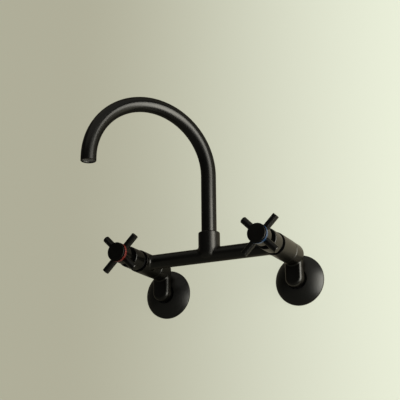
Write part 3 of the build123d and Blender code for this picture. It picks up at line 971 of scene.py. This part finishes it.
@dataclass
class Bridge:
    """The bridge with its spout tee, guide rings and grub screw, and its roots at the valves."""

    tube_radius: float = 10.0
    root: float = 4.2
    bite: float = 0.4
    steps: int = 96
    arc_steps: int = 8

    def build(self, shop: Workshop) -> None:
        """Blend both ends of the tube into the valve bodies.

        Args:
            shop: the workshop.
        """
        low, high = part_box("bridge")
        station = -(low[1] + high[1]) / 2 / MM
        for side, inward in ((Side.LEFT, 1), (Side.RIGHT, -1)):
            shape = self._root(Extent.of(side.node("valve_body"), OUT), station, inward)
            shop.tidy(shape)
            shop.piece(side.node("bridge_root"), shape, CAST_BLACK, "faucet_body", "dark_finish")

    def _root(self, valve: Extent, station: float, inward: int) -> bmesh.types.BMesh:
        """Concave ring between the round tube and the round valve body.

        Args:
            valve: where the valve body lies.
            station: the station of the tube's axis.
            inward: 1 where the tube leaves the body to the right, and -1 to the left.

        Returns:
            The mesh.
        """
        def place(radius: float, lift: float, angle: float) -> Vector:
            """A point round the tube's axis.

            Args:
                radius: its distance from the axis.
                lift: its distance out of the valve body's surface, along the axis.
                angle: its angle round the axis, in radians.

            Returns:
                The point.
            """
            up = radius * math.sin(angle)
            out = math.sqrt(valve.radius ** 2 - up ** 2) + lift
            return valve.seat.point(0, station + radius * math.cos(angle)) + Vector(
                (inward * out, 0, up)) * MM

        shape = bmesh.new()
        shares = [step / self.arc_steps for step in range(self.arc_steps + 1)]
        rings = []
        for number in range(self.steps):
            angle = 2 * math.pi * number / self.steps
            on_tube = place(self.tube_radius, self.root, angle)
            corner = place(self.tube_radius, 0, angle)
            on_body = place(self.tube_radius + self.root, 0, angle)
            line = [on_tube * (1 - t) ** 2 + corner * 2 * t * (1 - t) + on_body * t ** 2
                    for t in shares]
            line += [place(self.tube_radius + self.root, -self.bite, angle),
                     place(self.tube_radius - self.bite, -self.bite, angle),
                     place(self.tube_radius - self.bite, self.root, angle)]
            rings.append([shape.verts.new(point) for point in line])
        for ring, after in zip(rings, rings[1:] + rings[:1]):
            count = len(ring)
            for here in range(count):
                there = (here + 1) % count
                shape.faces.new((ring[here], ring[there], after[there], after[here]))
        return shape

    def dress(self, shop: Workshop) -> None:
        """Finish the casting and the pieces in its tee."""
        for node, finish in (("bridge", CAST_BLACK), ("spout_bushing", GUIDE_PLASTIC),
                             ("glide_washer", GUIDE_PLASTIC), ("spout_screw", SPRING_STEEL)):
            shop.dress(node, finish)


@dataclass
class Gooseneck:
    """The bent spout tube with its spigot and aerator."""

    ledge: float = 1.0
    ledge_depth: float = 1.6
    wall: float = 1.5
    facing: float = 0.9
    face_slack: float = 0.01
    key_notches: int = 4
    notch_share: int = 4
    notch_depth: float = 0.7
    screen_recess: float = 0.6
    screen_crown: float = 0.5
    screen_overlap: float = 1.04
    screen_fit: float = 0.98
    screen_turn: float = 19.0
    wire_pitch: float = 0.85
    wire: float = 0.26

    def build(self, shop: Workshop) -> None:
        """Turn the aerator's ring, notch it for its key and lay its wire screen.

        Args:
            shop: the workshop.
        """
        ring = Extent.of("aerator_housing", DOWN)
        self._ring(shop, ring)
        self._screen(shop, ring)

    def _ring(self, shop: Workshop, ring: Extent) -> None:
        """The aerator's ring, with a ledge for its screen and notches for its key.

        Args:
            shop: the workshop.
            ring: where the ring's node lies.
        """
        inner = ring.radius - self.wall
        step = ring.front - self.screen_recess - self.ledge_depth
        profile = [(ring.radius, ring.back), (ring.radius, ring.front), (inner, ring.front),
                   (inner, step), (inner - self.ledge, step), (inner - self.ledge, ring.back)]
        shape = shop.turn(ring.seat, profile, closed=True)
        lowest = -(ring.front - self.face_slack) * MM
        face = [part for part in shape.faces
                if part.normal.dot(ring.seat.axis) > self.facing
                and part.calc_center_median().z < lowest]
        face.sort(key=lambda part: self._bearing(part, ring.seat))
        share = len(face) // self.key_notches
        for number in range(self.key_notches):
            start = number * share
            notch = face[start:start + share // self.notch_share]
            grown = bmesh.ops.extrude_face_region(shape, geom=notch)["geom"]
            moved = [part for part in grown if isinstance(part, bmesh.types.BMVert)]
            bmesh.ops.translate(shape, verts=moved,
                                vec=-ring.seat.axis * self.notch_depth * MM)
            bmesh.ops.delete(shape, geom=notch, context="FACES_KEEP_BOUNDARY")
        shop.tidy(shape)
        shop.piece("aerator_ring", shape, SCREEN_STEEL, "spout", "screen_steel",
                   ("aerator_housing",))

    @staticmethod
    def _bearing(part: bmesh.types.BMFace, seat: Seat) -> float:
        """Angle of a face's middle round an upright axis, in radians."""
        middle = part.calc_center_median()
        return math.atan2(middle.y - seat.origin.y, middle.x - seat.origin.x)

    def _screen(self, shop: Workshop, ring: Extent) -> None:
        """The wire screen: a grid cut round, crowned, and given the thickness of its wires.

        Args:
            shop: the workshop.
            ring: where the ring's node lies.
        """
        radius = (ring.radius - self.wall) * MM
        fit = radius * self.screen_fit
        cells = 2 * math.ceil(radius / (self.wire_pitch * MM))
        shape = bmesh.new()
        bmesh.ops.create_grid(shape, x_segments=cells, y_segments=cells,
                              size=cells * self.wire_pitch * MM / 2)
        outside = [vert for vert in shape.verts
                   if vert.co.length > radius * self.screen_overlap]
        bmesh.ops.delete(shape, geom=outside, context="VERTS")
        for vert in shape.verts:
            reach = min(vert.co.length / radius, 1.0)
            vert.co.z = -self.screen_crown * MM * (1 - reach ** 2)
            if vert.co.xy.length > fit:
                vert.co.xy *= fit / vert.co.xy.length
        bmesh.ops.wireframe(shape, faces=shape.faces[:], thickness=self.wire * MM, offset=0.0,
                            use_replace=True, use_boundary=True, use_even_offset=True)
        depth = (ring.front - self.screen_recess - self.screen_crown) * MM
        middle = Vector((ring.seat.origin.x, ring.seat.origin.y, -depth))
        bmesh.ops.rotate(shape, verts=shape.verts[:], cent=Vector(),
                         matrix=Matrix.Rotation(math.radians(self.screen_turn), 3, "Z"))
        bmesh.ops.translate(shape, verts=shape.verts[:], vec=middle)
        shop.tidy(shape)
        shop.piece("aerator_mesh", shape, SCREEN_STEEL, "spout", "screen_steel")

    def dress(self, shop: Workshop) -> None:
        """Finish the tube, spigot, aerator and seals."""
        for node, finish in (("spout_tube", DRAWN_BLACK), ("spout_spigot", BRASS),
                             ("spout_rings", SEAL_RUBBER), ("aerator_washer", SEAL_RUBBER),
                             ("aerator_housing", SCREEN_STEEL),
                             ("aerator_screen", SCREEN_STEEL)):
            shop.dress(node, finish)


# -------- studio
DAYLIGHT: Colour = (1.0, 1.0, 0.98)
LAMPLIGHT: Colour = (1.0, 0.99, 0.96)


@dataclass(frozen=True)
class Softbox:
    """A soft light that faces the faucet. Azimuth 0 is along +x, -90 straight out of the wall."""

    name: str
    azimuth: float
    elevation: float
    distance: float
    width: float
    height: float
    radiance: float
    colour: Colour

    def place(self, middle: Vector) -> None:
        """Hang the light.

        Args:
            middle: the point that it faces.
        """
        turn, rise = math.radians(self.azimuth), math.radians(self.elevation)
        away = Vector((math.cos(turn) * math.cos(rise), math.sin(turn) * math.cos(rise),
                       math.sin(rise)))
        lamp = bpy.data.lights.new(self.name, "AREA")
        lamp.shape = "RECTANGLE"
        lamp.size, lamp.size_y = self.width, self.height
        lamp.energy = self.radiance * math.pi * self.width * self.height
        lamp.color = self.colour
        stand = bpy.data.objects.new(self.name, lamp)
        stand.location = middle + away * self.distance
        stand.rotation_euler = away.to_track_quat("Z", "Y").to_euler()
        stand.visible_camera = False
        bpy.context.scene.collection.objects.link(stand)


@dataclass
class Studio:
    """A pale wall and floor with soft light; the wall carries painted light falloff, darker to the
    left. Spans and sizes are metres.
    """

    middle: Vector = field(default_factory=lambda: Vector((-0.01, -0.09, 0.09)))
    reach: float = 3.0
    wall_gap: float = 0.0004
    # painted light falloff: the wall's colour runs from darker at the left to lighter at the
    # right, towards the window lights
    wall_left: Colour = (0.48, 0.47, 0.355)
    wall_right: Colour = (0.875, 0.915, 0.745)
    wall_span: Span = (-0.30, 0.36)
    wall_glow: float = 0.86
    mirrored: Colour = (0.93, 0.91, 0.77)
    mirrored_left: float = 0.16
    mirrored_right: float = 0.72
    mirrored_span: Span = (-0.06, 0.17)
    mirrored_fall: float = 0.55
    fall_span: Span = (0.04, 0.22)
    floor_drop: float = 0.62
    floor_colour: Colour = (0.62, 0.61, 0.55)
    floor_clouds: Cloud = Cloud(400, 3)
    floor_shade: float = 0.96
    floor_mirrored: float = 0.22
    floor_glow: float = 0.72
    room: Colour = (0.055, 0.055, 0.052)
    backdrop: Colour = (0.62, 0.62, 0.50)
    # name, azimuth, elevation, distance, width, height, radiance, colour
    softboxes: tuple[Softbox, ...] = (
        Softbox("window_core", -20, -5, 0.95, 0.46, 0.80, 4.1, DAYLIGHT),
        Softbox("window_veil", -21, -6, 1.00, 0.82, 1.10, 1.9, DAYLIGHT),
        Softbox("window_haze", -28, -3, 1.10, 1.15, 1.25, 0.6, DAYLIGHT),
        Softbox("overhead", -80, 67, 1.7, 2.6, 2.4, 0.22, LAMPLIGHT),
    )

    def build(self) -> None:
        """Hang the lights and raise the wall, the floor and the world."""
        for softbox in self.softboxes:
            softbox.place(self.middle)
        self._wall()
        self._floor()
        self._world()

    def _panel(self, name: str, material: bpy.types.Material,
               matrix: Matrix) -> bpy.types.Object:
        """A flat square that reaches well past the view.

        Args:
            name: its name.
            material: its material.
            matrix: where it stands.

        Returns:
            The panel.
        """
        shape = bmesh.new()
        bmesh.ops.create_grid(shape, x_segments=1, y_segments=1, size=self.reach, matrix=matrix)
        return show(name, shape, material)

    @staticmethod
    def _paint(graph: Graph, colour: Socket, glow: float) -> Socket:
        """Matt paint that also glows a little, so that shadows on it stay faint.

        Args:
            graph: the material's node tree.
            colour: the paint's colour.
            glow: the glow's share.

        Returns:
            The shader.
        """
        glowing = graph.add("ShaderNodeEmission", inputs={"Color": colour, "Strength": 1.0})
        matt = graph.add("ShaderNodeBsdfDiffuse", inputs={"Color": colour})
        inputs = {0: glow, 1: matt["BSDF"], 2: glowing["Emission"]}
        return graph.add("ShaderNodeMixShader", inputs=inputs)["Shader"]

    def _wall(self) -> bpy.types.Object:
        """The wall, with painted light falloff from darker at the left to lighter at the right,
        and painted reflections darker to the left and upwards. It is clear behind.

        Returns:
            The wall.
        """
        material, graph = blank("pale_wall")
        across, _, up = graph.axes(graph.place())
        # painted light falloff across the wall
        colour = graph.mix(across.between(*self.wall_span), self.wall_left, self.wall_right)
        # painted reflections: what the faucet mirrors of the wall is dimmer to the left and
        # upwards
        rise = self.mirrored_right - self.mirrored_left
        dim = self.mirrored_left + across.between(*self.mirrored_span) * rise
        dim = dim * (1 - up.between(*self.fall_span) * self.mirrored_fall)
        mirrored = graph.add("ShaderNodeVectorMath", {"operation": "SCALE"},
                             {"Vector": self.mirrored, "Scale": dim})["Vector"]
        rays = graph.add("ShaderNodeLightPath")
        colour = graph.mix(rays["Is Glossy Ray"], colour, mirrored)
        lit = self._paint(graph, colour, self.wall_glow)
        clear = graph.add("ShaderNodeBsdfTransparent")["BSDF"]
        behind = graph.add("ShaderNodeNewGeometry")["Backfacing"]
        both = graph.add("ShaderNodeMixShader", inputs={0: behind, 1: lit, 2: clear})["Shader"]
        graph.add("ShaderNodeOutputMaterial", inputs={"Surface": both})
        upright = Matrix.Rotation(math.radians(90), 4, "X")
        return self._panel("wall_panel", material,
                           Matrix.Translation((0, self.wall_gap, 0)) @ upright)

    def _floor(self) -> bpy.types.Object:
        """The pale floor below the faucet, which mirrors darker than the camera sees it.

        Returns:
            The floor.
        """
        material, graph = blank("pale_floor")
        clouds = graph.noise(graph.place(), self.floor_clouds)
        darker = shaded(self.floor_colour, self.floor_shade)
        colour = graph.mix(clouds, self.floor_colour, darker)
        rays = graph.add("ShaderNodeLightPath")
        mirrored = shaded(self.floor_colour, self.floor_mirrored)
        colour = graph.mix(rays["Is Camera Ray"], mirrored, colour)
        lit = self._paint(graph, colour, self.floor_glow)
        graph.add("ShaderNodeOutputMaterial", inputs={"Surface": lit})
        return self._panel("floor_panel", material, Matrix.Translation((0, 0, -self.floor_drop)))

    def _world(self) -> None:
        """A pale backdrop for the camera and a dim room for everything else."""
        world = bpy.data.worlds.new("studio")
        world.use_nodes = True
        bpy.context.scene.world = world
        graph = Graph(world.node_tree)
        rays = graph.add("ShaderNodeLightPath")
        colour = graph.mix(rays["Is Camera Ray"], self.room, self.backdrop)
        light = graph.add("ShaderNodeBackground", inputs={"Color": colour, "Strength": 1.0})
        graph.add("ShaderNodeOutputWorld", inputs={"Surface": light["Background"]})


@dataclass(frozen=True)
class PhotoCamera:
    """The camera that the photograph was taken with, fitted to the faucet's outline."""

    place: tuple[float, float, float] = (0.562021, -1.254015, -0.294933)
    azimuth: float = 25.998
    elevation: float = 17.212
    roll: float = -0.516
    focal_share: float = 991.224 / 400
    sensor: float = 36.0
    nearest: float = 0.05

    def build(self) -> None:
        """Stand the camera below the faucet, to its right, looking up."""
        turn, rise, roll = (math.radians(a) for a in (self.azimuth, self.elevation, self.roll))
        ahead = Vector((-math.sin(turn) * math.cos(rise), math.cos(turn) * math.cos(rise),
                        math.sin(rise)))
        level = Vector((math.cos(turn), math.sin(turn), 0))
        upward = level.cross(ahead)
        right = math.cos(roll) * level + math.sin(roll) * upward
        above = math.cos(roll) * upward - math.sin(roll) * level
        lens = bpy.data.cameras.new("photo_camera")
        lens.sensor_width = self.sensor
        lens.lens = self.focal_share * self.sensor
        lens.clip_start = self.nearest
        camera = bpy.data.objects.new("photo_camera", lens)
        facing = Matrix((right, above, -ahead)).transposed().to_4x4()
        camera.matrix_world = Matrix.Translation(self.place) @ facing
        bpy.context.scene.collection.objects.link(camera)
        bpy.context.scene.camera = camera
        bpy.context.scene.view_settings.view_transform = "Standard"


def main() -> None:
    """Load the solids, set up the camera and studio, and build each sub-assembly in order."""
    logging.basicConfig(level=logging.INFO, format="%(message)s", force=True)
    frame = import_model()
    shop = Workshop(frame["nodes"])
    PhotoCamera().build()
    Studio().build()
    for side in Side:
        inlet = WaterInlet(side)
        inlet.build(shop)
        inlet.dress(shop)
        Valve(side).dress(shop)
        handle = CrossHandle(side)
        handle.dress(shop)
        handle.build(shop)
    bridge = Bridge()
    bridge.dress(shop)
    bridge.build(shop)
    spout = Gooseneck()
    spout.dress(shop)
    spout.build(shop)


if __name__ == "__main__":
    main()
